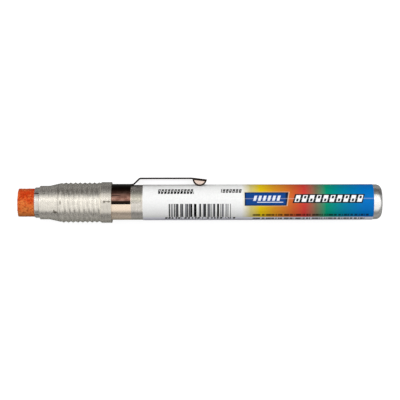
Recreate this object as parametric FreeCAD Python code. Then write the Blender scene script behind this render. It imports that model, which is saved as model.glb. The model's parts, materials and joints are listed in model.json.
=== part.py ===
import FreeCAD, Part
import math
import os

# A temperature indicating stick: a round crayon that melts at its own temperature, held in a slim
# metal pen. The crayon passes through a split collet, which a screwed clamp sleeve squeezes, and
# slides in a closed body tube that carries a spring pocket clip and a wrapped label.
#
# Each piece is built on the pen's own axis: +Z runs from the crayon's tip, at station 0, to the
# closed rear end, and +X points to the side that the clip is on. The last section lays the pen
# down as it comes to rest, on the sleeve and one edge of the clip, with the crayon towards -X.

Vector = FreeCAD.Vector

# Driving dimensions, in millimetres and degrees. A station is a distance from the crayon's tip.
overall_length = 121.25

crayon_diameter = 9.525
crayon_rear_gap = 6.1
crayon_reach = 5.74
crayon_tip_chamfer = 0.3
crayon_clearance = 0.03

collet_wall = 0.28
collet_reach = 1.54
collet_front_chamfer = 0.16
collet_nose_clearance = 0.14
collet_ring_diameter = 11.5
collet_ring_length = 1.2
collet_end_gap = 0.05
slot_count = 4
slot_width = 0.26
slot_clock = 53.0
slot_end_wall = 1.7

tube_diameter = 11.65
tube_wall = 0.4
tube_rear_rounding = 1.9

sleeve_length = 24.07
sleeve_wall = 0.4
sleeve_front_rounding = 0.38
sleeve_nose_length = 3.3
sleeve_flare_length = 3.2
sleeve_flare_rounding = 4.0
sleeve_band_length = 3.4
sleeve_band_clearance = 0.08
sleeve_step_length = 0.4
sleeve_rim_length = 0.4
sleeve_rim_flare = 0.06

thread_pitch = 25.4 / 16
thread_depth = 0.37
thread_clearance = 0.12
thread_root_width = 1.3
thread_flank_overrun = 0.08
tube_thread_inset = 1.2
tube_thread_length = 4.0

clip_sheet = 0.32
clip_fit = 0.015
clip_band_gap = 0.1
clip_band_length = 6.33
clip_band_half_angle = 88.0
clip_lip_radius = 0.7
clip_lip_angle = 60.0
clip_width = 5.4
clip_neck_length = 0.3
clip_fold_margin = 0.05
clip_rise_length = 2.1
clip_arm_height = 8.05
clip_arm_length = 17.32
clip_tip_length = 5.0
clip_tip_drop = 0.62
clip_bend_radius = 0.8
clip_tip_bend_radius = 3.0
clip_ear_length = 4.75
clip_ear_gap = 0.02

label_thickness = 0.08
label_front_gap = 3.98
label_rear_margin = 3.01


# Sizes that follow from the driving dimensions

crayon_radius = crayon_diameter / 2
crayon_rear = overall_length - tube_wall - crayon_rear_gap
collet_bore_radius = crayon_radius + crayon_clearance
finger_radius = collet_bore_radius + collet_wall
collet_ring_radius = collet_ring_diameter / 2
tube_radius = tube_diameter / 2
tube_bore_radius = tube_radius - tube_wall
tube_inner_chamfer = tube_rear_rounding - tube_wall
tube_crest_radius = tube_radius + thread_depth
sleeve_nose_bore_radius = finger_radius + collet_nose_clearance
sleeve_bore_radius = tube_radius + thread_clearance
sleeve_groove_radius = tube_crest_radius + thread_clearance
sleeve_band_bore_radius = sleeve_groove_radius + sleeve_band_clearance
sleeve_band_radius = sleeve_band_bore_radius + sleeve_wall
sleeve_rim_radius = sleeve_band_radius + sleeve_rim_flare
label_radius = tube_radius + label_thickness
clip_inner_radius = tube_radius + clip_fit
clip_outer_radius = clip_inner_radius + clip_sheet
clip_neck_height = clip_inner_radius + clip_sheet / 2
clip_rise_slope = math.atan((clip_arm_height - clip_neck_height) / clip_rise_length)
clip_bend_setback = (clip_bend_radius + clip_sheet) * math.tan(clip_rise_slope / 2)

collet_front = crayon_reach
sleeve_front = collet_front + collet_reach
sleeve_rear = sleeve_front + sleeve_length
sleeve_flare_front = sleeve_front + sleeve_nose_length
sleeve_flare_rear = sleeve_flare_front + sleeve_flare_length
sleeve_band_front = sleeve_rear - sleeve_band_length
sleeve_step_front = sleeve_band_front - sleeve_step_length
sleeve_rim_front = sleeve_rear - sleeve_rim_length
rim_slope = sleeve_rim_flare / sleeve_rim_length
flare_slope = (sleeve_bore_radius - sleeve_nose_bore_radius) / sleeve_flare_length
collet_ring_front = sleeve_flare_front + (collet_ring_radius - finger_radius) / flare_slope
collet_rear = collet_ring_front + collet_ring_length
tube_front = collet_rear + collet_end_gap
tube_thread_front = tube_front + tube_thread_inset
tube_thread_turns = tube_thread_length / thread_pitch
lead_turns = math.ceil((tube_thread_front - sleeve_flare_rear) / thread_pitch)
sleeve_thread_front = tube_thread_front - lead_turns * thread_pitch
sleeve_thread_turns = math.ceil((sleeve_band_front - sleeve_thread_front) / thread_pitch) + 1
clip_front = sleeve_rear + clip_band_gap
clip_band_rear = clip_front + clip_band_length
clip_neck_rear = clip_band_rear + clip_neck_length
clip_rise_front = clip_neck_rear + clip_fold_margin + clip_bend_setback
clip_arm_front = clip_rise_front + clip_rise_length
clip_arm_rear = clip_arm_front + clip_arm_length
clip_tip = clip_arm_rear + clip_tip_length
label_front = clip_band_rear + label_front_gap
label_rear = overall_length - label_rear_margin


# Shapes that several pieces share

def rounded_outline(corners):
    """A closed wire in the XZ plane through (x, z, rounding) corners; a rounding of 0 stays sharp."""
    starts = []
    ends = []
    arcs = []
    for index, (x, z, rounding) in enumerate(corners):
        corner = Vector(x, 0, z)
        before = Vector(corners[index - 1][0], 0, corners[index - 1][1])
        after_corner = corners[(index + 1) % len(corners)]
        after = Vector(after_corner[0], 0, after_corner[1])
        back = (before - corner).normalize()
        ahead = (after - corner).normalize()
        half_turn = back.getAngle(ahead) / 2
        if rounding > 0 and half_turn < math.radians(89.9):
            setback = rounding / math.tan(half_turn)
            start = corner + back * setback
            end = corner + ahead * setback
            inwards = (back + ahead).normalize()
            middle = corner + inwards * (rounding / math.sin(half_turn) - rounding)
            arcs.append(Part.Arc(start, middle, end).toShape())
        else:
            start = corner
            end = corner
            arcs.append(None)
        starts.append(start)
        ends.append(end)
    edges = []
    for index, arc in enumerate(arcs):
        if arc:
            edges.append(arc)
        following = starts[(index + 1) % len(starts)]
        if ends[index].distanceToPoint(following) > 1e-6:
            edges.append(Part.makeLine(ends[index], following))
    return Part.Wire(Part.__sortEdges__(edges))


def turned(corners):
    """A solid turned about the pen's axis from (radius, station, rounding) corners."""
    return Part.Face(rounded_outline(corners)).revolve(Vector(0, 0, 0), Vector(0, 0, 1), 360)


def thread_form(root_radius, root_width, front, turns):
    """A right-hand helical ridge of two flanks, which start a little below the root."""
    foot_radius = root_radius - thread_flank_overrun
    foot_half = root_width / 2 * (1 + thread_flank_overrun / thread_depth)
    section = Part.makePolygon([
        Vector(foot_radius, 0, front - foot_half),
        Vector(root_radius + thread_depth, 0, front),
        Vector(foot_radius, 0, front + foot_half),
        Vector(foot_radius, 0, front - foot_half),
    ])
    helix = Part.makeHelix(thread_pitch, turns * thread_pitch, root_radius)
    helix.translate(Vector(0, 0, front))
    return Part.Wire(helix.Edges).makePipeShell([section], True, True)


# The crayon: one pressed stick with a slightly worn marking end

def make_crayon():
    return turned([
        (0, 0, 0),
        (crayon_radius - crayon_tip_chamfer, 0, 0),
        (crayon_radius, crayon_tip_chamfer, 0),
        (crayon_radius, crayon_rear, 0),
        (0, crayon_rear, 0),
    ])


# The collet: slotted fingers that grip the crayon, a cone that the sleeve's flare presses, and a
# plain ring behind them that butts on the tube's front end

def make_collet():
    body = turned([
        (collet_bore_radius, collet_front, 0),
        (finger_radius - collet_front_chamfer, collet_front, 0),
        (finger_radius, collet_front + collet_front_chamfer, 0),
        (finger_radius, sleeve_flare_front, 0),
        (collet_ring_radius, collet_ring_front, 0),
        (collet_ring_radius, collet_rear, 0),
        (collet_bore_radius, collet_rear, 0),
    ])
    slot_length = collet_rear - slot_end_wall - collet_front
    for index in range(slot_count):
        slot = Part.makeBox(
            tube_diameter,
            slot_width,
            slot_length + slot_width,
            Vector(0, -slot_width / 2, collet_front - slot_width),
        )
        slot.rotate(Vector(0, 0, 0), Vector(0, 0, 1), slot_clock + index * 360 / slot_count)
        body = body.cut(slot)
    return body


# The body tube: drawn, closed at the rear, with a coarse thread rolled round its front end

def make_body_tube():
    wall = turned([
        (tube_bore_radius, tube_front, 0),
        (tube_radius, tube_front, 0),
        (tube_radius, overall_length, tube_rear_rounding),
        (0, overall_length, 0),
        (0, overall_length - tube_wall, 0),
        (tube_bore_radius - tube_inner_chamfer, overall_length - tube_wall, 0),
        (tube_bore_radius, overall_length - tube_wall - tube_inner_chamfer, 0),
    ])
    thread = thread_form(
        tube_radius,
        thread_root_width,
        tube_thread_front,
        tube_thread_turns,
    )
    return wall.fuse(thread)


# The clamp sleeve: a thin shell with a straight nose, a flare that presses the collet, a thread
# rolled right through its wall, so that it shows outside as well, and a plain band at the rear.
# Its outside and its bore are the same form, one sleeve_wall apart

def sleeve_form(offset, front, rear, front_rounding, flare_rounding):
    """The solid inside the bore's surface when that is moved outwards by offset."""
    nose_radius = sleeve_nose_bore_radius + offset
    root_radius = sleeve_bore_radius + offset
    band_radius = sleeve_band_bore_radius + offset
    thread_rear = sleeve_thread_front + sleeve_thread_turns * thread_pitch
    core_front = front - thread_pitch
    core = Part.makeCylinder(
        root_radius,
        thread_rear + 2 * thread_pitch - core_front,
        Vector(0, 0, core_front),
    )
    threaded = core.fuse(thread_form(
        root_radius,
        thread_root_width,
        sleeve_thread_front,
        sleeve_thread_turns,
    ))
    limit_radius = band_radius + thread_depth
    limit_station = sleeve_flare_front + (limit_radius - nose_radius) / flare_slope
    band_middle = (sleeve_band_front + sleeve_rim_front) / 2
    front_part = threaded.common(turned([
        (0, front, 0),
        (nose_radius, front, front_rounding),
        (nose_radius, sleeve_flare_front, flare_rounding),
        (limit_radius, limit_station, 0),
        (limit_radius, band_middle, 0),
        (0, band_middle, 0),
    ]))
    band = turned([
        (0, sleeve_step_front, 0),
        (root_radius, sleeve_step_front, 0),
        (band_radius, sleeve_band_front, 0),
        (band_radius, sleeve_rim_front, 0),
        (band_radius + rim_slope * (rear - sleeve_rim_front), rear, 0),
        (0, rear, 0),
    ])
    return front_part.fuse(band)


def make_clamp_sleeve():
    outside = sleeve_form(
        sleeve_wall,
        sleeve_front,
        sleeve_rear,
        sleeve_front_rounding,
        sleeve_flare_rounding,
    )
    bore = sleeve_form(0, sleeve_front - sleeve_wall, sleeve_rear + sleeve_wall, 0, 0)
    return outside.cut(bore)


# The pocket clip: one strip of spring sheet. Its wide end wraps the tube as an open band with
# flared lips, and its narrow end rises, runs along the pen and rests on two folded ears

def in_section(radius, angle):
    """A point of a cross-section from its radius and its angle from the clip's side."""
    turn = math.radians(angle)
    return Vector(radius * math.cos(turn), radius * math.sin(turn), 0)


def section_arc(centre, radius, start_angle, end_angle):
    middle_angle = (start_angle + end_angle) / 2
    points = [centre + in_section(radius, angle) for angle in (start_angle, middle_angle, end_angle)]
    return Part.Arc(*points).toShape()


def make_clip_band():
    axis = Vector(0, 0, 0)
    edges = [
        section_arc(axis, clip_outer_radius, -clip_band_half_angle, clip_band_half_angle),
        section_arc(axis, clip_inner_radius, -clip_band_half_angle, clip_band_half_angle),
    ]
    lip_back_radius = clip_lip_radius + clip_sheet
    for side in (-1, 1):
        lip_centre = in_section(clip_outer_radius + clip_lip_radius, side * clip_band_half_angle)
        lip_start = side * (clip_band_half_angle + 180)
        lip_end = side * (clip_band_half_angle + 180 - clip_lip_angle)
        edges.append(section_arc(lip_centre, clip_lip_radius, lip_start, lip_end))
        edges.append(section_arc(lip_centre, lip_back_radius, lip_start, lip_end))
        edges.append(Part.makeLine(
            lip_centre + in_section(clip_lip_radius, lip_end),
            lip_centre + in_section(lip_back_radius, lip_end),
        ))
    section = Part.Face(Part.Wire(Part.__sortEdges__(edges)))
    section.translate(Vector(0, 0, clip_front))
    return section.extrude(Vector(0, 0, clip_band_length))


def make_clip_neck():
    """The strip just behind the band, which flattens from the tube's curve to the arm's flat."""
    half_width = clip_width / 2
    curved_edges = []
    corners = []
    for radius in (clip_outer_radius, clip_inner_radius):
        edge_height = math.sqrt(radius ** 2 - half_width ** 2)
        right = Vector(edge_height, -half_width, clip_band_rear)
        left = Vector(edge_height, half_width, clip_band_rear)
        curved_edges.append(Part.Arc(right, Vector(radius, 0, clip_band_rear), left).toShape())
        corners.append((right, left))
    (outer_right, outer_left), (inner_right, inner_left) = corners
    root = Part.Wire([
        curved_edges[0],
        Part.makeLine(outer_left, inner_left),
        curved_edges[1],
        Part.makeLine(inner_right, outer_right),
    ])
    head = Part.makePolygon([
        Vector(clip_outer_radius, -half_width, clip_neck_rear),
        Vector(clip_outer_radius, half_width, clip_neck_rear),
        Vector(clip_inner_radius, half_width, clip_neck_rear),
        Vector(clip_inner_radius, -half_width, clip_neck_rear),
        Vector(clip_outer_radius, -half_width, clip_neck_rear),
    ])
    return Part.makeLoft([root, head], True, True)


def sheet_outline(bends):
    """The closed outline of a sheet from its middle line's (height, station, bend radius) points."""
    tops = []
    unders = []
    for index, (height, station, bend) in enumerate(bends):
        slopes = []
        for other in (bends[max(index - 1, 0)], bends[min(index + 1, len(bends) - 1)]):
            if other[1] != station:
                slopes.append(math.atan((height - other[0]) / (station - other[1])))
        slope = sum(slopes) / len(slopes)
        mitre = clip_sheet / 2 / math.cos((slopes[0] - slopes[-1]) / 2)
        rise = mitre * math.cos(slope)
        run = mitre * math.sin(slope)
        top_bend = bend + clip_sheet if slopes[0] > slopes[-1] else bend
        under_bend = bend + clip_sheet if slopes[0] < slopes[-1] else bend
        tops.append((height + rise, station - run, top_bend if bend else 0))
        unders.append((height - rise, station + run, under_bend if bend else 0))
    unders.reverse()
    return rounded_outline(tops + unders)


def make_clip_arm():
    outline = sheet_outline([
        (clip_neck_height, clip_neck_rear, 0),
        (clip_neck_height, clip_rise_front, clip_bend_radius),
        (clip_arm_height, clip_arm_front, clip_bend_radius),
        (clip_arm_height, clip_arm_rear, clip_tip_bend_radius),
        (clip_arm_height - clip_tip_drop, clip_tip, 0),
    ])
    outline.translate(Vector(0, -clip_width / 2, 0))
    return Part.Face(outline).extrude(Vector(0, clip_width, 0))


def make_clip_ear(side):
    """A half-moon folded down at one edge of the strip's tip, which rests on the label."""
    inner_face = clip_width / 2 - clip_sheet
    foot_height = math.sqrt(label_radius ** 2 - inner_face ** 2) + clip_ear_gap
    tip_height = clip_arm_height - clip_tip_drop
    ear_front = clip_tip - clip_ear_length
    front_height = tip_height + clip_tip_drop * clip_ear_length / clip_tip_length
    front = Vector(front_height, 0, ear_front)
    foot = Vector(foot_height, 0, clip_tip - clip_ear_length / 2)
    rear = Vector(tip_height, 0, clip_tip)
    outline = Part.Wire([Part.Arc(front, foot, rear).toShape(), Part.makeLine(rear, front)])
    outline.translate(Vector(0, side * inner_face, 0))
    return Part.Face(outline).extrude(Vector(0, side * clip_sheet, 0))


def make_pocket_clip():
    clip = make_clip_band()
    for piece in (make_clip_neck(), make_clip_arm(), make_clip_ear(-1), make_clip_ear(1)):
        clip = clip.fuse(piece)
    return clip.removeSplitter()


# The label: a thin printed film wrapped once round the tube

def make_label():
    return turned([
        (tube_radius, label_front, 0),
        (label_radius, label_front, 0),
        (label_radius, label_rear, 0),
        (tube_radius, label_rear, 0),
    ])


# The pen lies on the sleeve's rim and on the lower edge of the clip's arm. Its axis points along
# X, and the origin is under the middle of the whole object's box, on the surface it lies on

arm_top = clip_arm_height + clip_sheet / 2
arm_edge = clip_width / 2
arm_corner_radius = math.hypot(arm_top, arm_edge)
clip_dip = math.asin(sleeve_rim_radius / arm_corner_radius) - math.atan(arm_edge / arm_top)
clip_side_reach = arm_top * math.cos(clip_dip) + arm_edge * math.sin(clip_dip)
laying_down = FreeCAD.Matrix(
    0, 0, 1, -overall_length / 2,
    math.cos(clip_dip), math.sin(clip_dip), 0, (sleeve_rim_radius - clip_side_reach) / 2,
    -math.sin(clip_dip), math.cos(clip_dip), 0, sleeve_rim_radius,
    0, 0, 0, 1,
)

pieces = {
    "crayon_stick": make_crayon(),
    "collet": make_collet(),
    "clamp_sleeve": make_clamp_sleeve(),
    "body_tube": make_body_tube(),
    "pocket_clip": make_pocket_clip(),
    "label": make_label(),
}

os.makedirs("parts", exist_ok=True)
for name, piece in pieces.items():
    piece.transformed(laying_down, copy=True).exportStep(f"parts/{name}.step")
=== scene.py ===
import json
import math

import bpy
from mathutils import Matrix, Vector


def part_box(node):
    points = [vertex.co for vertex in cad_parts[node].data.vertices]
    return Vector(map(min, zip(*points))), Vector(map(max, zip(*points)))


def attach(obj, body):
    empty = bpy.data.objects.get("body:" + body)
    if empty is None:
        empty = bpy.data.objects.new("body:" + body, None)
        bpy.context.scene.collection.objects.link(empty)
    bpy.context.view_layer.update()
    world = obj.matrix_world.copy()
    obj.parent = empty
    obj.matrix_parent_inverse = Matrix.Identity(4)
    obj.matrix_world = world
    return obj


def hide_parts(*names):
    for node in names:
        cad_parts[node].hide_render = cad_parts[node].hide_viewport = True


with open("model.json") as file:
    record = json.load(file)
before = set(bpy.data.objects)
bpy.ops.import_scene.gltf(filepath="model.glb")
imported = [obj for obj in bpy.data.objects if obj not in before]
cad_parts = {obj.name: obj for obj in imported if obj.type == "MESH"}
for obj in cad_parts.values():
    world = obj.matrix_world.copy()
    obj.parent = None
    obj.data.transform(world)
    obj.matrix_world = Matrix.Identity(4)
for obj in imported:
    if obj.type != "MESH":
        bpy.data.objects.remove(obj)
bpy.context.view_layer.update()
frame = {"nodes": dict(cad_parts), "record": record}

# The camera stands square to the pen, with the clip at the top of its view. A place on the pen is
# given by its station, which is how far it lies behind the crayon's tip, by its rise towards the
# clip and its depth towards the camera from the axis of the round parts, or by its turn about it.
camera_distance = 0.450
camera_lens = 121.13
camera_sensor = 36.0
camera_station = 0.06074
camera_rise = 0.00073
camera_roll = math.radians(0.146)
nearest_seen = 0.01
farthest_seen = 20.0

label_low, label_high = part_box("label")
axis_y = (label_low.y + label_high.y) / 2
axis_z = (label_low.z + label_high.z) / 2
tip_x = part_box("crayon_stick")[0].x
clip_gap = next(mount for mount in frame["record"]["mounts"] if mount["name"] == "clip_gap")
clip_side = Vector((0, clip_gap["pos_m"][1] - axis_y, clip_gap["pos_m"][2] - axis_z)).normalized()
along = Vector((1, 0, 0))
shown_side = along.cross(clip_side)

bpy.ops.object.camera_add()
camera = bpy.context.object
camera.name = "camera"
camera.data.lens = camera_lens
camera.data.sensor_width = camera_sensor
camera.data.clip_start = nearest_seen
camera.data.clip_end = farthest_seen
right = along * math.cos(camera_roll) - clip_side * math.sin(camera_roll)
up = clip_side * math.cos(camera_roll) + along * math.sin(camera_roll)
aim = Vector((tip_x + camera_station, axis_y, axis_z)) + clip_side * camera_rise
camera.matrix_world = Matrix.Translation(aim + shown_side * camera_distance) @ Matrix((
    (right.x, up.x, shown_side.x, 0),
    (right.y, up.y, shown_side.y, 0),
    (right.z, up.z, shown_side.z, 0),
    (0, 0, 0, 1),
))
bpy.context.scene.camera = camera


# The room: a white paper floor under a lit cloth tent, with one soft lamp on the clip's side. The
# tent is bright overhead and on that side, where one strip is brightest, and dim on the far side, so
# that bright metal shows bands. The grey card on the floor and the tent itself stay out of view.
class Flow:
    """A number on its way through a finish. Python's own signs add Math nodes to it."""

    def __init__(self, graph, socket):
        self.graph = graph
        self.socket = socket

    def __add__(self, other):
        return self.graph.maths("ADD", self, other)

    def __sub__(self, other):
        return self.graph.maths("SUBTRACT", self, other)

    def __mul__(self, other):
        return self.graph.maths("MULTIPLY", self, other)

    def __truediv__(self, other):
        return self.graph.maths("DIVIDE", self, other)

    def __pow__(self, other):
        return self.graph.maths("POWER", self, other)

    def __rsub__(self, other):
        return self.graph.maths("SUBTRACT", other, self)

    __radd__ = __add__
    __rmul__ = __mul__


class Finish:
    """A material, or the world, put together from plain expressions."""

    def __init__(self, owner):
        owner.use_nodes = True
        self.owner = owner
        self.tree = owner.node_tree
        self.tree.nodes.clear()

    def node(self, kind, inputs=None, output=0, stops=None, **settings):
        """Adds a node: its settings first, then the values or links of its sockets."""
        made = self.tree.nodes.new("ShaderNode" + kind)
        for name, value in settings.items():
            setattr(made, name, value)
        if stops:
            ramp = made.color_ramp
            while len(ramp.elements) < len(stops):
                ramp.elements.new(0.5)
            for element, (place, colour) in zip(ramp.elements, stops):
                element.position = place
                element.color = (*colour, 1.0)
        for name, value in (inputs or {}).items():
            if isinstance(value, Flow):
                self.tree.links.new(value.socket, made.inputs[name])
            elif hasattr(made.inputs[name].default_value, "__len__"):
                size = len(made.inputs[name].default_value)
                made.inputs[name].default_value = (*value, 1.0)[:size]
            else:
                made.inputs[name].default_value = value
        return Flow(self, made.outputs[output]) if made.outputs else made

    def maths(self, operation, *values):
        """A Math node, for what Python has no sign for."""
        return self.node("Math", dict(enumerate(values)), operation=operation)

    def larger(self, first, second):
        return self.maths("MAXIMUM", first, second)

    def mix(self, factor, first, second):
        """A colour between two others."""
        return self.node("Mix", {0: factor, 6: first, 7: second}, 2, data_type="RGBA")

    def ease(self, value, low, high):
        """0 below low and 1 above high, with a smooth rise between."""
        limits = {0: value, 1: low, 2: high, 3: 0.0, 4: 1.0}
        return self.node("MapRange", limits, interpolation_type="SMOOTHSTEP")

    def between(self, value, low, high, soft):
        """1 from low to high and 0 elsewhere, with edges as soft as asked."""
        rising = self.ease(value, low - soft / 2, low + soft / 2)
        falling = self.ease(value, high + soft / 2, high - soft / 2)
        return rising * falling


def new_finish(name):
    return Finish(bpy.data.materials.new(name))


def shown_rays(finish):
    """1 for rays from the camera, also by way of a mirror or glass, and 0 for all other light."""
    camera_ray, mirrored_ray, through_ray = (
        finish.node("LightPath", output=f"Is {kind} Ray") for kind in ("Camera", "Glossy", "Transmission")
    )
    return finish.larger(camera_ray, finish.larger(mirrored_ray, through_ray))


full_white = (1.0, 1.0, 1.0)
to_degrees = 180 / math.pi

world = bpy.data.worlds.new("room")
bpy.context.scene.world = world
air = Finish(world)
room_light = air.node("Background", {"Color": (0.2, 0.2, 0.2), "Strength": 1.0})
backdrop = air.node("Background", {"Color": full_white, "Strength": 1.0})
air_sides = {0: shown_rays(air), 1: room_light, 2: backdrop}
air.node("OutputWorld", {"Surface": air.node("MixShader", air_sides)})

floor_size = 6.0
bpy.ops.mesh.primitive_plane_add(size=floor_size)
floor = bpy.context.object
floor.name = "floor"
paper = new_finish("floor_paper")
unseen_paper = paper.node("BsdfDiffuse", {"Color": (0.42, 0.42, 0.41)})
paper_glow = paper.node("Emission", {"Color": full_white, "Strength": 0.86})
paper_shade = paper.node("BsdfDiffuse", {"Color": (0.40, 0.40, 0.40)})
seen_paper = paper.node("AddShader", {0: paper_shade, 1: paper_glow})
paper_sides = {0: shown_rays(paper), 1: unseen_paper, 2: seen_paper}
paper.node("OutputMaterial", {"Surface": paper.node("MixShader", paper_sides)})
floor.data.materials.append(paper.owner)

# The grey card is seen only in the metal's mirror, in place of the floor: its greys, darker on one side
# and darkest in one band, are painted shade that the metal reflects.
card_height = 0.00002
card_middle = (0.0, -0.004)
painted_shade_band = (0.012, 0.032)
bpy.ops.mesh.primitive_plane_add(size=floor_size, location=(0, 0, card_height))
card = bpy.context.object
card.name = "grey_card"
card.visible_camera = False
card.visible_diffuse = False
card.visible_shadow = False
card.visible_transmission = False
felt = new_finish("card_felt")
card_place = felt.node("SeparateXYZ", {0: felt.node("TexCoord", output="Object")}, "Y")
card_grey = felt.mix(felt.ease(card_place, *card_middle), (0.19, 0.19, 0.18), (0.31, 0.31, 0.28))
card_grey = felt.mix(felt.between(card_place, *painted_shade_band, 0.006), card_grey, (0.07, 0.063, 0.055))
felt.node("OutputMaterial", {"Surface": felt.node("BsdfDiffuse", {"Color": card_grey})})
card.data.materials.append(felt.owner)

# Heights in the tent are degrees round it: 0 at the floor on the clip's side, 90 overhead and 180
# at the floor again.
tent_radius = 0.9
tent_length = 6.0
near_start = (-23.0, 29.0)
crown_start = (62.0, 80.0)
far_start = (107.0, 131.0)
far_wall_start = (134.0, 160.0)
strip_heights = (33.3, 35.3)
shade_heights = (50.0, 64.0)
shade_length = (-0.118, -0.045)
bright_end = (0.06, 0.2)
strip_level = 2.2
crown_dimming = 0.14
far_dimming = 0.75
far_wall_level = 0.17
lowest_level = 0.02
bpy.ops.mesh.primitive_cylinder_add(
    vertices=96, radius=tent_radius, depth=tent_length, end_fill_type="NOTHING",
    rotation=(0, math.pi / 2, 0),
)
tent = bpy.context.object
tent.name = "light_tent"
bpy.ops.object.transform_apply(location=True, rotation=True, scale=True)
tent.visible_camera = False
cloth = new_finish("tent_cloth")
place = cloth.node("TexCoord", output="Object")
sideways, across, upwards = (cloth.node("SeparateXYZ", {0: place}, part) for part in "XYZ")
height = cloth.maths("ARCTAN2", upwards, across) * to_degrees
crown = cloth.ease(height, *crown_start)
far_edge = cloth.ease(height, *far_start)
far_wall = cloth.ease(height, *far_wall_start) * far_wall_level
level = cloth.ease(height, *near_start) + lowest_level
level = level - crown * crown_dimming - far_edge * far_dimming + far_wall
end_light = cloth.ease(sideways, *bright_end) * 0.15 + 1
diffuse_ray = cloth.node("LightPath", output="Is Diffuse Ray")
softened = 1 - diffuse_ray * ((crown - far_edge) * 0.36 + 0.38)
camera_shade = cloth.between(height, *shade_heights, 3.0) * cloth.between(sideways, *shade_length, 0.03)
level = level * end_light * softened * (1 - camera_shade * 0.85)
level = level + cloth.between(height, *strip_heights, 0.8) * strip_level
cloth_tint = cloth.mix(diffuse_ray, (1.0, 0.985, 0.955), (0.965, 0.965, 1.0))
cloth.node("OutputMaterial", {"Surface": cloth.node("Emission", {"Color": cloth_tint, "Strength": level})})
tent.data.materials.append(cloth.owner)

lamp_height = math.radians(45.0)
lamp_distance = 0.7
lamp_length = 1.2
lamp_width = 0.25
lamp_energy = 4.0
lamp_colour = (0.96, 0.965, 1.0)
bpy.ops.object.light_add(
    type="AREA",
    location=(0, lamp_distance * math.cos(lamp_height), lamp_distance * math.sin(lamp_height)),
    rotation=(lamp_height - math.pi / 2, 0, 0),
)
lamp = bpy.context.object
lamp.name = "side_lamp"
lamp.data.shape = "RECTANGLE"
lamp.data.size = lamp_length
lamp.data.size_y = lamp_width
lamp.data.energy = lamp_energy
lamp.data.color = lamp_colour
lamp.visible_glossy = False


# The body tube: drawn aluminium, closed and rounded at the rear. Its mill finish has fine lines
# round it from turning, faint drawing streaks along it, and a soft haze.
merge_reach = 0.000002


def smooth_copy(node, name, body, angle):
    """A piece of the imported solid's own shape, its triangles joined and its curves smoothed."""
    piece = frame["nodes"][node].copy()
    piece.data = frame["nodes"][node].data.copy()
    piece.name = name
    piece.parent = None
    bpy.context.scene.collection.objects.link(piece)
    bpy.ops.object.select_all(action="DESELECT")
    piece.select_set(True)
    bpy.context.view_layer.objects.active = piece
    bpy.ops.object.mode_set(mode="EDIT")
    bpy.ops.mesh.customdata_custom_splitnormals_clear()
    bpy.ops.mesh.select_all(action="SELECT")
    bpy.ops.mesh.remove_doubles(threshold=merge_reach)
    bpy.ops.object.mode_set(mode="OBJECT")
    bpy.ops.object.shade_smooth_by_angle(angle=math.radians(angle))
    for key in [key for key in piece.keys() if key.startswith("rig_")]:
        del piece[key]
    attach(piece, body)
    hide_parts(node)
    return piece


def clothe(piece, finish):
    piece.data.materials.clear()
    piece.data.materials.append(finish.owner)


def pen_places(finish):
    """The station, and the place across the pen as rise and depth from its axis, in millimetres."""
    place = finish.node("TexCoord", output="Object")
    station = (finish.node("SeparateXYZ", {0: place}, "X") - tip_x) * 1000
    centred = finish.node("VectorMath", {0: place, 1: (0, axis_y, axis_z)}, operation="SUBTRACT")
    rise, depth = (
        finish.node("VectorMath", {0: centred, 1: tuple(side)}, "Value", operation="DOT_PRODUCT") * 1000
        for side in (clip_side, shown_side)
    )
    return station, rise, depth


def distance(first, second):
    return (first * first + second * second) ** 0.5


star_offset = (5.37, 9.71)


def noise(finish, places, along_scale, across_scale, detail, roughness=0.5):
    """A cloudy pattern, stretched along the pen or across it. The middle of such a pattern shows as
    a star, so it is kept away from the pen's axis."""
    station, rise, depth = places
    vector = finish.node("CombineXYZ", {
        0: station * along_scale,
        1: rise * across_scale + star_offset[0],
        2: depth * across_scale + star_offset[1],
    })
    return finish.node("TexNoise", {
        "Vector": vector, "Scale": 1.0, "Detail": detail, "Roughness": roughness,
    })


def swing(pattern, amount):
    """A pattern's sway to both sides of its middle."""
    return (pattern - 0.5) * amount


def aluminium(name, colour, metallic, roughness, turning, drawing, blotches, marks):
    """Bright aluminium with lines from turning, streaks from drawing, and a blotched oxide."""
    finish = new_finish(name)
    places = pen_places(finish)
    lines = noise(finish, places, 2.8, 0.10, detail=5.0, roughness=0.7)
    streaks = noise(finish, places, 0.12, 3.0, detail=5.0, roughness=0.6)
    clouds = noise(finish, places, 0.9, 0.9, detail=4.0, roughness=0.6)
    blotched = tuple(part * (1 - blotches) for part in colour)
    lined = tuple(part * 0.62 for part in colour)
    skin = finish.mix(finish.ease(clouds, 0.35, 0.7), blotched, colour)
    skin = finish.mix(finish.ease(lines, 0.56, 0.34) * 0.4, skin, lined)
    height = lines * turning + streaks * drawing + clouds * 0.6
    metal = finish.node("BsdfPrincipled", {
        "Base Color": marks(finish, *places, skin),
        "Metallic": metallic,
        "Roughness": swing(lines, 0.16) + swing(clouds, 0.14) + roughness,
        "Normal": finish.node("Bump", {"Strength": 0.35, "Distance": 0.00002, "Height": height}),
    })
    finish.node("OutputMaterial", {"Surface": metal})
    return finish


smooth_angle = 28
painted_band_highlight = (31.3, 37.9)
painted_shade_stations = (38.0, 41.5)
painted_shade_rises = (0.1, 3.9)
rear_end = (116.8, 117.4)
upper_dark_rises = (2.4, 4.4)
lower_dark_rises = (-2.0, -3.2)
painted_highlight_colour = (1.0, 0.84, 0.68)
handled_colour = (0.88, 0.88, 0.87)
rear_dark_colour = (0.30, 0.27, 0.24)
painted_shade_colour = (0.34, 0.33, 0.24)


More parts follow.
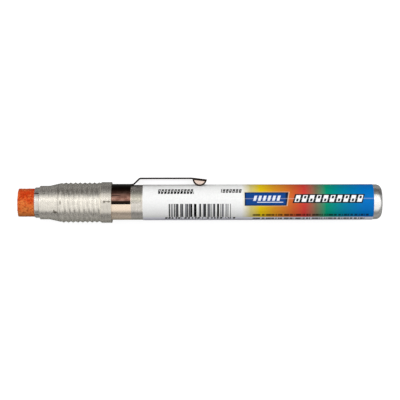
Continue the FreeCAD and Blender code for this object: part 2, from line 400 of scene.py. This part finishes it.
def tube_marks(finish, station, rise, depth, skin):
    """A painted warm highlight by the clip's band, painted shade behind it, and a handled, whiter rear
    end, darker in a band on its upper side and towards its bottom.
    """
    # A painted highlight: the metal by the clip's band is painted warmer and brighter.
    rubbed = finish.between(station, *painted_band_highlight, 0.3)
    # Painted shade: the metal just behind the band, under the clip's fold, is painted darker and greener.
    painted_fold_shade = finish.between(station, *painted_shade_stations, 0.4) * finish.between(rise, *painted_shade_rises, 1.4)
    handled = finish.ease(station, *rear_end)
    # The rear end is painted darker in a band on its upper side and towards its bottom.
    rear_darkening = finish.ease(rise, *lower_dark_rises) * 0.4
    rear_darkening = finish.larger(finish.between(rise, *upper_dark_rises, 0.6), rear_darkening)
    skin = finish.mix(rubbed, skin, painted_highlight_colour)
    skin = finish.mix(handled, skin, handled_colour)
    skin = finish.mix(rear_darkening * handled * 0.65, skin, rear_dark_colour)
    return finish.mix(painted_fold_shade * 0.5, skin, painted_shade_colour)


tube = smooth_copy("body_tube", "body_tube_shell", "holder", smooth_angle)
clothe(tube, aluminium(
    "drawn_aluminium", colour=(0.80, 0.76, 0.70), metallic=0.82, roughness=0.24,
    turning=0.5, drawing=0.8, blotches=0.12, marks=tube_marks,
))


# The label: one printed, glossy film glued round the tube, so that its last millimetre lies over its
# start in a seam opposite the clip. It is white at the front, with a field of colours behind.
def select_points(piece, wanted):
    """In edit mode, selects the points of a piece whose places are wanted, and no others."""
    bpy.ops.mesh.select_all(action="DESELECT")
    bpy.ops.object.mode_set(mode="OBJECT")
    for point in piece.data.vertices:
        point.select = wanted(point.co)
    bpy.ops.object.mode_set(mode="EDIT")


film_thickness = 0.00006
film_turn = math.radians(332.0)
film_lap = math.radians(38.0)
film_lift = 0.0005
seam_angle = math.radians(-98.0)
label_radius = (label_high.z - label_low.z) / 2
label_length = label_high.x - label_low.x
label_middle = Vector(((label_low.x + label_high.x) / 2, axis_y, axis_z))
seam_side = shown_side * math.cos(seam_angle) + clip_side * math.sin(seam_angle)

bpy.ops.object.select_all(action="DESELECT")
bpy.ops.mesh.primitive_plane_add(size=label_length, location=label_middle + seam_side * label_radius)
film = bpy.context.object
film.name = "label_film"
bpy.ops.object.transform_apply(location=True, rotation=True, scale=True)
near_edge = min(point.co.y for point in film.data.vertices)
bpy.ops.object.mode_set(mode="EDIT")
select_points(film, lambda place: place.y > near_edge + label_length / 2)
bpy.ops.mesh.delete(type="VERT")
bpy.ops.mesh.select_all(action="SELECT")
bpy.ops.transform.translate(value=(0, label_length / 2, 0))
bpy.ops.mesh.spin(steps=150, angle=film_turn, center=label_middle, axis=along)
bpy.ops.object.mode_set(mode="OBJECT")
last_edge = next(point.co for point in film.data.vertices if point.select)
outwards = Vector((0, last_edge.y - axis_y, last_edge.z - axis_z)).normalized()
bpy.ops.object.mode_set(mode="EDIT")
bpy.ops.mesh.spin(steps=24, angle=film_lap, center=label_middle - outwards * film_lift, axis=along)
bpy.ops.mesh.select_all(action="SELECT")
bpy.ops.mesh.normals_make_consistent(inside=False)
bpy.ops.object.mode_set(mode="OBJECT")
first_face = film.data.polygons[0]
if first_face.normal.dot(first_face.center - label_middle) < 0:
    film.data.flip_normals()
wall = film.modifiers.new("film_wall", "SOLIDIFY")
wall.thickness = film_thickness
wall.offset = -1.0
bpy.ops.object.modifier_apply(modifier=wall.name)
bpy.ops.object.shade_smooth_by_angle(angle=math.radians(smooth_angle))
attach(film, "holder")
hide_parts("label")


def paint(red, green, blue):
    """A colour as it is seen, each part from 0 to 255, in the linear form that shaders take."""
    return tuple(((part / 255 + 0.055) / 1.055) ** 2.4 for part in (red, green, blue))


def line_noise(finish, place, detail=0.0):
    """A pattern that changes along one line only."""
    return finish.node("TexNoise", {"W": place, "Scale": 1.0, "Detail": detail}, noise_dimensions="1D")


# Turns are degrees round the pen, 0 on the shown side and 90 at the clip, and stations millimetres.
seam_turn = -100.0
field_turns = (-57.5, 250.0)
field_start = 74.56
field_length = 42.2
ink = new_finish("printed_film")
places = pen_places(ink)
station, rise, depth = places
turn = ink.maths("ARCTAN2", rise, depth) * to_degrees
turn = turn + ink.maths("LESS_THAN", turn, seam_turn) * 360
field_colours = ink.node("ValToRGB", {0: (station - field_start) / field_length}, stops=[
    (0.00, paint(244, 244, 240)),
    (0.07, paint(214, 200, 124)),
    (0.14, paint(228, 196, 18)),
    (0.25, paint(216, 148, 38)),
    (0.40, paint(206, 96, 46)),
    (0.49, paint(206, 62, 56)),
    (0.58, paint(122, 110, 84)),
    (0.66, paint(4, 148, 110)),
    (0.80, paint(2, 128, 158)),
    (0.96, paint(3, 113, 190)),
])
printed = ink.mix(ink.between(turn, *field_turns, 1.5), paint(246, 246, 255), field_colours)

# A dark blue panel with a pale rim and a slanted end, and on it six slanted slats over a line.
panel_turns = (-11.8, 33.2)
panel_start = (75.4, 75.55)
rim_turns = (-13.4, 35.0)
rim_start = (75.15, 75.3)
core_turns = (-9.0, 30.0)
core_stations = (75.9, 89.0)
slat_turns = (4.0, 21.0)
slat_start = 77.9
slat_pitch = 1.55
slat_count = 6.0
line_turns = (-1.8, 0.6)
line_stations = (79.6, 88.2)
panel_room = turn * 0.0155 + 89.6 - station
rim = ink.between(turn, *rim_turns, 1.0) * ink.ease(station, *rim_start)
rim = rim * ink.ease(panel_room, -0.3, -0.15)
panel = ink.between(turn, *panel_turns, 1.0) * ink.ease(station, *panel_start)
panel = panel * ink.ease(panel_room, 0.0, 0.2)
core = ink.between(turn, *core_turns, 2.5) * ink.between(station, *core_stations, 0.5)
printed = ink.mix(rim * 0.45, printed, paint(232, 228, 204))
printed = ink.mix(panel, printed, ink.mix(core, paint(16, 36, 66), paint(20, 68, 138)))
slat_place = (station - turn * 0.03 - slat_start) / slat_pitch
slats = ink.between(slat_place, 0.0, slat_count, 0.04) * ink.between(turn, *slat_turns, 1.5)
slats = slats * ink.between(ink.maths("FRACT", slat_place), 0.16, 0.74, 0.1)
slat_line = ink.between(station, *line_stations, 0.3) * ink.between(turn, *line_turns, 0.8)
printed = ink.mix(ink.larger(slats, slat_line), printed, paint(226, 232, 242))

# A row of dark and grey bars, each as wide as chance has it.
bar_turns = (-56.0, -5.3)
bar_stations = (50.4, 70.9)
bar_place = ink.maths("FRACT", station * 0.66 + line_noise(ink, station * 1.9) * 0.8)
bar_greys = ink.ease(line_noise(ink, station * 0.9 + 7), 0.53, 0.60)
bars = ink.between(turn, *bar_turns, 1.0) * ink.between(station, *bar_stations, 0.12)
bars = bars * ink.between(bar_place, 0.18, 0.80, 0.08)
printed = ink.mix(bars, printed, ink.mix(bar_greys, paint(6, 6, 8), paint(132, 132, 134)))

# White slanted tiles in a dark edge, notched by turns above and below.
tile_start = 91.6
tile_pitch = 2.29
tile_turns = (0.2, 22.4)
edge_turns = (-3.4, 26.0)
tile_place = (station - turn * 0.03 - tile_start) / tile_pitch
tile_step = ink.maths("FRACT", tile_place)
tile_edge = ink.between(tile_place, -0.10, 9.98, 0.04) * ink.between(turn, *edge_turns, 1.0)
tiles = ink.between(tile_place, 0.0, 9.9, 0.02) * ink.between(turn, *tile_turns, 1.0)
tiles = tiles * ink.between(tile_step, 0.14, 0.80, 0.06)
notch_level = ink.maths("GREATER_THAN", ink.maths("FRACT", tile_place * 0.5), 0.5) * 9.0 + 2.0
notches = ink.between(turn - notch_level, 0.0, 9.0, 1.5) * ink.between(tile_step, 0.32, 0.64, 0.06)
printed = ink.mix(tile_edge, printed, paint(22, 34, 36))
printed = ink.mix(tiles * (1 - notches), printed, paint(250, 250, 250))

# Rows of small ticks on the white, some with a hole, and two lines of fine dashes on the colours.
tick_pitch = 1.07
long_row_turns = (28.0, 47.0)
long_row_stations = (46.9, 58.7)
short_row_turns = (31.5, 46.5)
short_row_stations = (67.7, 74.6)
low_row_turns = (-68.0, -57.5)
low_row_stations = (48.7, 72.6)
upper_dash_turns = (-51.0, -42.0)
upper_dash_stations = (78.2, 116.6)
lower_dash_turns = (-75.0, -61.5)
lower_dash_stations = (78.2, 115.4)
tick_place = (station - turn * 0.02) / tick_pitch
tick_step = ink.maths("FRACT", tick_place)
tick_kind = ink.node("TexWhiteNoise", {"W": ink.maths("FLOOR", tick_place)}, noise_dimensions="1D")
tick_hole = ink.between(tick_step, 0.40, 0.58, 0.08) * ink.between(turn - tick_kind * 5.0, 33.5, 39.5, 1.5)
tick = ink.between(tick_step, 0.10, 0.84, 0.08) * (1 - tick_hole * 0.8)
long_row = ink.between(turn, *long_row_turns, 2.0) * ink.between(station, *long_row_stations, 0.2)
short_row = ink.between(turn, *short_row_turns, 2.0) * ink.between(station, *short_row_stations, 0.2)
low_row = ink.between(turn, *low_row_turns, 1.0) * ink.between(station, *low_row_stations, 0.1)
low_row = low_row * ink.ease(line_noise(ink, station * 1.1 + 3), 0.42, 0.47)
ticks = ink.larger(ink.larger(long_row, short_row), low_row) * tick
upper_dashes = ink.between(turn, *upper_dash_turns, 2.0) * ink.between(station, *upper_dash_stations, 0.2)
lower_dashes = ink.between(turn, *lower_dash_turns, 2.0) * ink.between(station, *lower_dash_stations, 0.2)
dashes = ink.larger(upper_dashes * 0.8, lower_dashes * 0.85)
dashes = dashes * ink.ease(line_noise(ink, station * 1.5, detail=1.0), 0.4, 0.46)
printed = ink.mix(ink.larger(dashes, ticks), printed, paint(14, 12, 14))

# A faint painted highlight runs along the colours: a thin line painted whiter, as a painted reflection of
# the strip light.
highlight_line_turns = (9.6, 12.6)
highlight_line_start = (60.0, 76.0)
painted_highlight_line = ink.between(turn, *highlight_line_turns, 1.4) * ink.ease(station, *highlight_line_start)
printed = ink.mix(painted_highlight_line * 0.15, printed, full_white)

grain = noise(ink, places, 2.2, 2.2, detail=5.0)
scuffs = noise(ink, places, 0.25, 6.0, detail=3.0)
gloss = ink.node("BsdfPrincipled", {
    "Base Color": ink.mix(ink.ease(grain, 0.3, 0.8) * 0.07, printed, (0.0, 0.0, 0.0)),
    "Roughness": swing(scuffs, 0.05) + 0.07,
    "Specular IOR Level": 0.05,
    "Normal": ink.node("Bump", {"Strength": 0.12, "Distance": 0.00001, "Height": grain + scuffs * 0.4}),
})
ink.node("OutputMaterial", {"Surface": gloss})
clothe(film, ink)


# The pocket clip: one strip of copper-coloured spring sheet, pressed, tumbled and polished, that
# springs round the tube. Its arm, the top of its band and its lip are painted nearly black, as
# painted dark reflection and shade, the arm is rubbed brown along its back, and the faces of its ears
# are painted bright, as a painted reflection on the polished copper.
clip_edge = 0.00004
arm_swell = 0.00012
arm_clearance = 0.0070
arm_start = 0.040
underside = -0.9
flat_angle = math.radians(0.5)
sharp_angle = math.radians(50)
clip_smooth_angle = 35
clip = smooth_copy("pocket_clip", "pocket_clip_sheet", "holder", clip_smooth_angle)
bpy.ops.object.mode_set(mode="EDIT")
bpy.ops.mesh.select_all(action="SELECT")
bpy.ops.mesh.dissolve_limited(angle_limit=flat_angle)
bpy.ops.mesh.select_mode(type="FACE")
bpy.ops.mesh.select_all(action="DESELECT")
bpy.ops.object.mode_set(mode="OBJECT")
for face in clip.data.polygons:
    from_tip = face.center - Vector((tip_x, axis_y, axis_z))
    on_arm = from_tip.dot(clip_side) > arm_clearance and from_tip.x > arm_start
    face.select = face.normal.dot(clip_side) < underside and on_arm
bpy.ops.object.mode_set(mode="EDIT")
bpy.ops.transform.translate(value=-clip_side * arm_swell)
bpy.ops.mesh.select_mode(type="VERT")
bpy.ops.object.mode_set(mode="OBJECT")
tumbling = clip.modifiers.new("tumbled_edges", "BEVEL")
tumbling.width = clip_edge
tumbling.segments = 3
tumbling.limit_method = "ANGLE"
tumbling.angle_limit = sharp_angle
tumbling.use_clamp_overlap = False
bpy.ops.object.modifier_apply(modifier=tumbling.name)
bpy.ops.object.shade_smooth_by_angle(angle=math.radians(clip_smooth_angle))

ear_station = 60.66
ear_rise = 7.81
arm_top = 8.05
arm_slope = 0.124
slope_start = 58.0
lip_shade_rises = (-1.5, 0.48)
streak_rises = (2.05, 2.4)
streak_stations = (31.0, 34.4)
copper = new_finish("polished_copper")
places = pen_places(copper)
station, rise, depth = places
side_reach = copper.maths("ABSOLUTE", depth)
brushing = noise(copper, places, 0.3, 5.0, detail=5.0)
tarnish = noise(copper, places, 0.7, 0.7, detail=5.0)
under_top = arm_top - (station - slope_start) * arm_slope - rise
# Painted reflection: the faces of the ears are painted pale and bright.
painted_ear_highlight = copper.ease(distance(station - ear_station, rise - ear_rise), 1.98, 1.80)
painted_ear_highlight = painted_ear_highlight * copper.ease(under_top, 0.50, 0.66) * copper.ease(side_reach, 2.2, 2.3)
# Painted dark reflection and shade: the upper band and the arm are painted nearly black, edged by tarnish,
# and so is the lip; a dark streak runs along the band.
painted_darkening = copper.ease(rise + swing(tarnish, 1.2), 2.9, 5.2)
painted_lip_shade = copper.between(rise, *lip_shade_rises, 0.12) * copper.ease(side_reach, 3.0, 3.2)
streak = copper.between(rise, *streak_rises, 0.2) * copper.between(station, *streak_stations, 1.4)
painted_darkening = copper.larger(painted_darkening, copper.larger(painted_lip_shade, streak * 0.8))
arm_back = copper.ease(side_reach + swing(tarnish, 1.2), 2.35, 1.9)
arm_back = arm_back * copper.ease(station, 39.0, 41.5) * copper.ease(rise, 6.5, 7.3)
tarnish_and_painted_dark = copper.mix(copper.ease(tarnish, 0.35, 0.7), (0.20, 0.10, 0.075), (0.34, 0.19, 0.15))
tarnish_and_painted_dark = copper.mix(painted_darkening, tarnish_and_painted_dark, (0.022, 0.014, 0.010))
tarnish_and_painted_dark = copper.mix(arm_back * 0.8, tarnish_and_painted_dark, (0.24, 0.135, 0.10))
sheet = copper.node("BsdfPrincipled", {
    "Base Color": copper.mix(painted_ear_highlight, tarnish_and_painted_dark, (0.86, 0.70, 0.62)),
    "Metallic": 1.0,
    "Roughness": swing(brushing, 0.1) + swing(tarnish, 0.1) + 0.17,
    "Normal": copper.node("Bump", {"Strength": 0.3, "Distance": 0.00001, "Height": brushing + tarnish}),
})
copper.node("OutputMaterial", {"Surface": sheet})
clothe(clip, copper)


# The collet: turned aluminium, a split ring round the crayon. Four saw cuts part it into fingers,
# which the sleeve's flare closes on the crayon. The mouths of the cuts are painted dark, as painted shade.
saw_cut_turn = 37.0
saw_cut_step = 90
cut_edge = (0.034, 0.022)


def collet_marks(finish, station, rise, depth, skin):
    """Painted shade in the mouth of each saw cut."""
    clock = finish.maths("ARCTAN2", rise, depth) * to_degrees - saw_cut_turn
    from_cut = finish.maths("FRACT", clock / saw_cut_step + 4.5) - 0.5
    cut_shade = finish.ease(finish.maths("ABSOLUTE", from_cut), *cut_edge)
    return finish.mix(cut_shade * 0.9, skin, (0.05, 0.025, 0.015))


collet = smooth_copy("collet", "collet_fingers", "chuck", smooth_angle)
clothe(collet, aluminium(
    "turned_aluminium", colour=(0.82, 0.79, 0.74), metallic=0.8, roughness=0.24,
    turning=1.2, drawing=0.2, blotches=0.1, marks=collet_marks,
))


# The clamp sleeve: a drawn aluminium shell with a coarse thread rolled right through its wall, and
# screwed on the tube. Its thread's root is painted darker, most on the upper side as a painted dark
# reflection, and painted dark spots stand for the shade of small dents, and for a dark reflection by the
# rear band.
thread_stations = (13.6, 27.6)
band_stations = (27.9, 31.2)
root_reach = (6.2, 6.335)
dark_band_reach = (6.2, 6.46)
dark_band_rises = (2.5, 4.2)
dull_colour = (0.55, 0.51, 0.46)
painted_spot_colour = (0.16, 0.14, 0.11)
root_dark_colour = (0.14, 0.12, 0.10)
# Painted shade: dark spots for small dents, and three by the rear band for a painted dark reflection.
painted_dark_spots = (
    (12.85, -3.20, 0.75, 0.42),
    (12.45, -2.75, 0.30, 0.45),
    (14.60, 0.00, 0.24, 0.80),
    (29.90, 0.30, 1.20, 0.14),
    (29.15, 0.20, 0.42, 0.42),
    (30.65, 0.26, 0.60, 0.32),
    (9.20, 2.90, 0.50, 0.12),
    (25.60, -3.90, 0.12, 0.40),
)


def sleeve_marks(finish, station, rise, depth, skin):
    """A duller rear band, painted dark spots, each at a station and a rise, and a darker thread root, with
    a painted dark band on the upper side.
    """
    painted_spots = 0.0
    for spot_station, spot_rise, spot_length, spot_width in painted_dark_spots:
        along_spot = (station - spot_station) / spot_length
        across_spot = (rise - spot_rise) / spot_width
        painted_spots = finish.ease(along_spot * along_spot + across_spot * across_spot, 1.2, 0.4) + painted_spots
    skin = finish.mix(finish.between(station, *band_stations, 0.5) * 0.3, skin, dull_colour)
    skin = finish.mix(finish.maths("MINIMUM", painted_spots, 1.0) * 0.85, skin, painted_spot_colour)
    # The thread's root is painted darker, and between two rises on the upper side a painted dark
    # reflection darkens it more.
    from_axis = distance(rise, depth)
    painted_dark_band = finish.between(rise, *dark_band_rises, 0.9) * finish.between(from_axis, *dark_band_reach, 0.08)
    root = finish.larger(finish.between(from_axis, *root_reach, 0.03) * 0.7, painted_dark_band * 0.45)
    return finish.mix(root * finish.between(station, *thread_stations, 0.3), skin, root_dark_colour)


sleeve = smooth_copy("clamp_sleeve", "clamp_sleeve_shell", "sleeve", smooth_angle)
clothe(sleeve, aluminium(
    "rolled_aluminium", colour=(0.92, 0.88, 0.80), metallic=0.84, roughness=0.27,
    turning=1.8, drawing=0.5, blotches=0.16, marks=sleeve_marks,
))


# The crayon: pressed wax and pigment, orange, coarse and dry, with a pitted skin and crumbled edges.
# Its marking end is worn, and grains of lighter pigment show where it was rubbed.
worn_slope = 0.02
end_inset = 0.00003
crumble = 0.00012
ring_count = 300
side_count = 104
rim_reach = 0.00001
weld_reach = 0.000005
wax_smooth_angle = 60
crayon_pits = (("lumps", 0.0011, 0.00012), ("grit", 0.0004, 0.00020))
crayon_low, crayon_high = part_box("crayon_stick")
crayon_radius = (crayon_high.z - crayon_low.z) / 2
crayon_length = crayon_high.x - crayon_low.x
crayon_middle = Vector(((crayon_low.x + crayon_high.x) / 2, axis_y, axis_z))
side_length = crayon_length - 2 * (crumble + end_inset)

bpy.ops.object.select_all(action="DESELECT")
bpy.ops.mesh.primitive_grid_add(
    x_subdivisions=ring_count, y_subdivisions=1, size=side_length,
    location=crayon_middle + Vector((0, 0, crayon_radius)),
)
crayon = bpy.context.object
crayon.name = "crayon_wax"
bpy.ops.object.transform_apply(location=True, rotation=True, scale=True)
bpy.ops.object.mode_set(mode="EDIT")
select_points(crayon, lambda place: place.y > axis_y)
bpy.ops.mesh.delete(type="VERT")
bpy.ops.mesh.select_all(action="SELECT")
bpy.ops.transform.translate(value=(0, side_length / 2, 0))
for side in (-1, 1):
    select_points(crayon, lambda place: (place.x - crayon_middle.x) * side > side_length / 2 - rim_reach)
    bpy.ops.mesh.extrude_region_move(TRANSFORM_OT_translate={"value": (side * crumble, 0, -crumble)})
bpy.ops.mesh.select_all(action="SELECT")
bpy.ops.mesh.spin(steps=side_count, angle=2 * math.pi, center=crayon_middle, axis=along)
bpy.ops.mesh.select_all(action="SELECT")
bpy.ops.mesh.remove_doubles(threshold=weld_reach)
for side in (-1, 1):
    select_points(crayon, lambda place: (place.x - crayon_middle.x) * side > side_length / 2 + crumble / 2)
    bpy.ops.mesh.fill_grid(span=side_count // 4)
select_points(crayon, lambda place: place.x < crayon_low.x + end_inset + crumble * 1.5)
bpy.ops.transform.rotate(
    value=worn_slope, orient_axis="Z", orient_type="GLOBAL", orient_matrix_type="GLOBAL",
    orient_matrix=(tuple(along), tuple(shown_side), tuple(clip_side)),
    center_override=(crayon_low.x + end_inset, axis_y, axis_z),
)
bpy.ops.transform.translate(value=(crayon_radius * worn_slope, 0, 0))
bpy.ops.mesh.select_all(action="SELECT")
bpy.ops.mesh.normals_make_consistent(inside=False)
bpy.ops.object.mode_set(mode="OBJECT")
for name, size, reach in crayon_pits:
    pattern = bpy.data.textures.new(f"crayon_{name}", "CLOUDS")
    pattern.noise_scale = size
    pattern.noise_depth = 3
    pits = crayon.modifiers.new(name, "DISPLACE")
    pits.texture = pattern
    pits.texture_coords = "LOCAL"
    pits.strength = reach
    pits.mid_level = 0.75
    bpy.ops.object.modifier_apply(modifier=pits.name)
bpy.ops.object.shade_smooth_by_angle(angle=math.radians(wax_smooth_angle))
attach(crayon, "stick")
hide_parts("crayon_stick")

deep_orange = paint(208, 60, 6)
rubbed_orange = paint(232, 132, 62)
pit_brown = paint(126, 40, 2)
fleck_orange = paint(246, 150, 84)
wax = new_finish("pressed_wax")
places = pen_places(wax)
station, rise, depth = places
grit = noise(wax, places, 2.6, 2.6, detail=8.0, roughness=0.7)
patches = noise(wax, places, 0.5, 0.5, detail=3.0)
specks = noise(wax, places, 1.5, 1.5, detail=6.0, roughness=0.75)
rubbed = wax.ease(grit * 0.5 + specks * 0.5 + swing(patches, 0.5) - rise * 0.028, 0.38, 0.64)
skin = wax.mix(rubbed, deep_orange, rubbed_orange)
skin = wax.mix(wax.ease(specks, 0.49, 0.38) * 0.75, skin, pit_brown)
skin = wax.mix(wax.ease(grit, 0.56, 0.66) * 0.6, skin, fleck_orange)
stick = wax.node("BsdfPrincipled", {
    "Base Color": skin,
    "Specular IOR Level": 0.2,
    "Roughness": grit * 0.2 + 0.62,
    "Normal": wax.node("Bump", {"Strength": 0.8, "Distance": 0.00012, "Height": grit}),
})
wax.node("OutputMaterial", {"Surface": stick})
clothe(crayon, wax)


bpy.context.scene.view_settings.view_transform = "Standard"
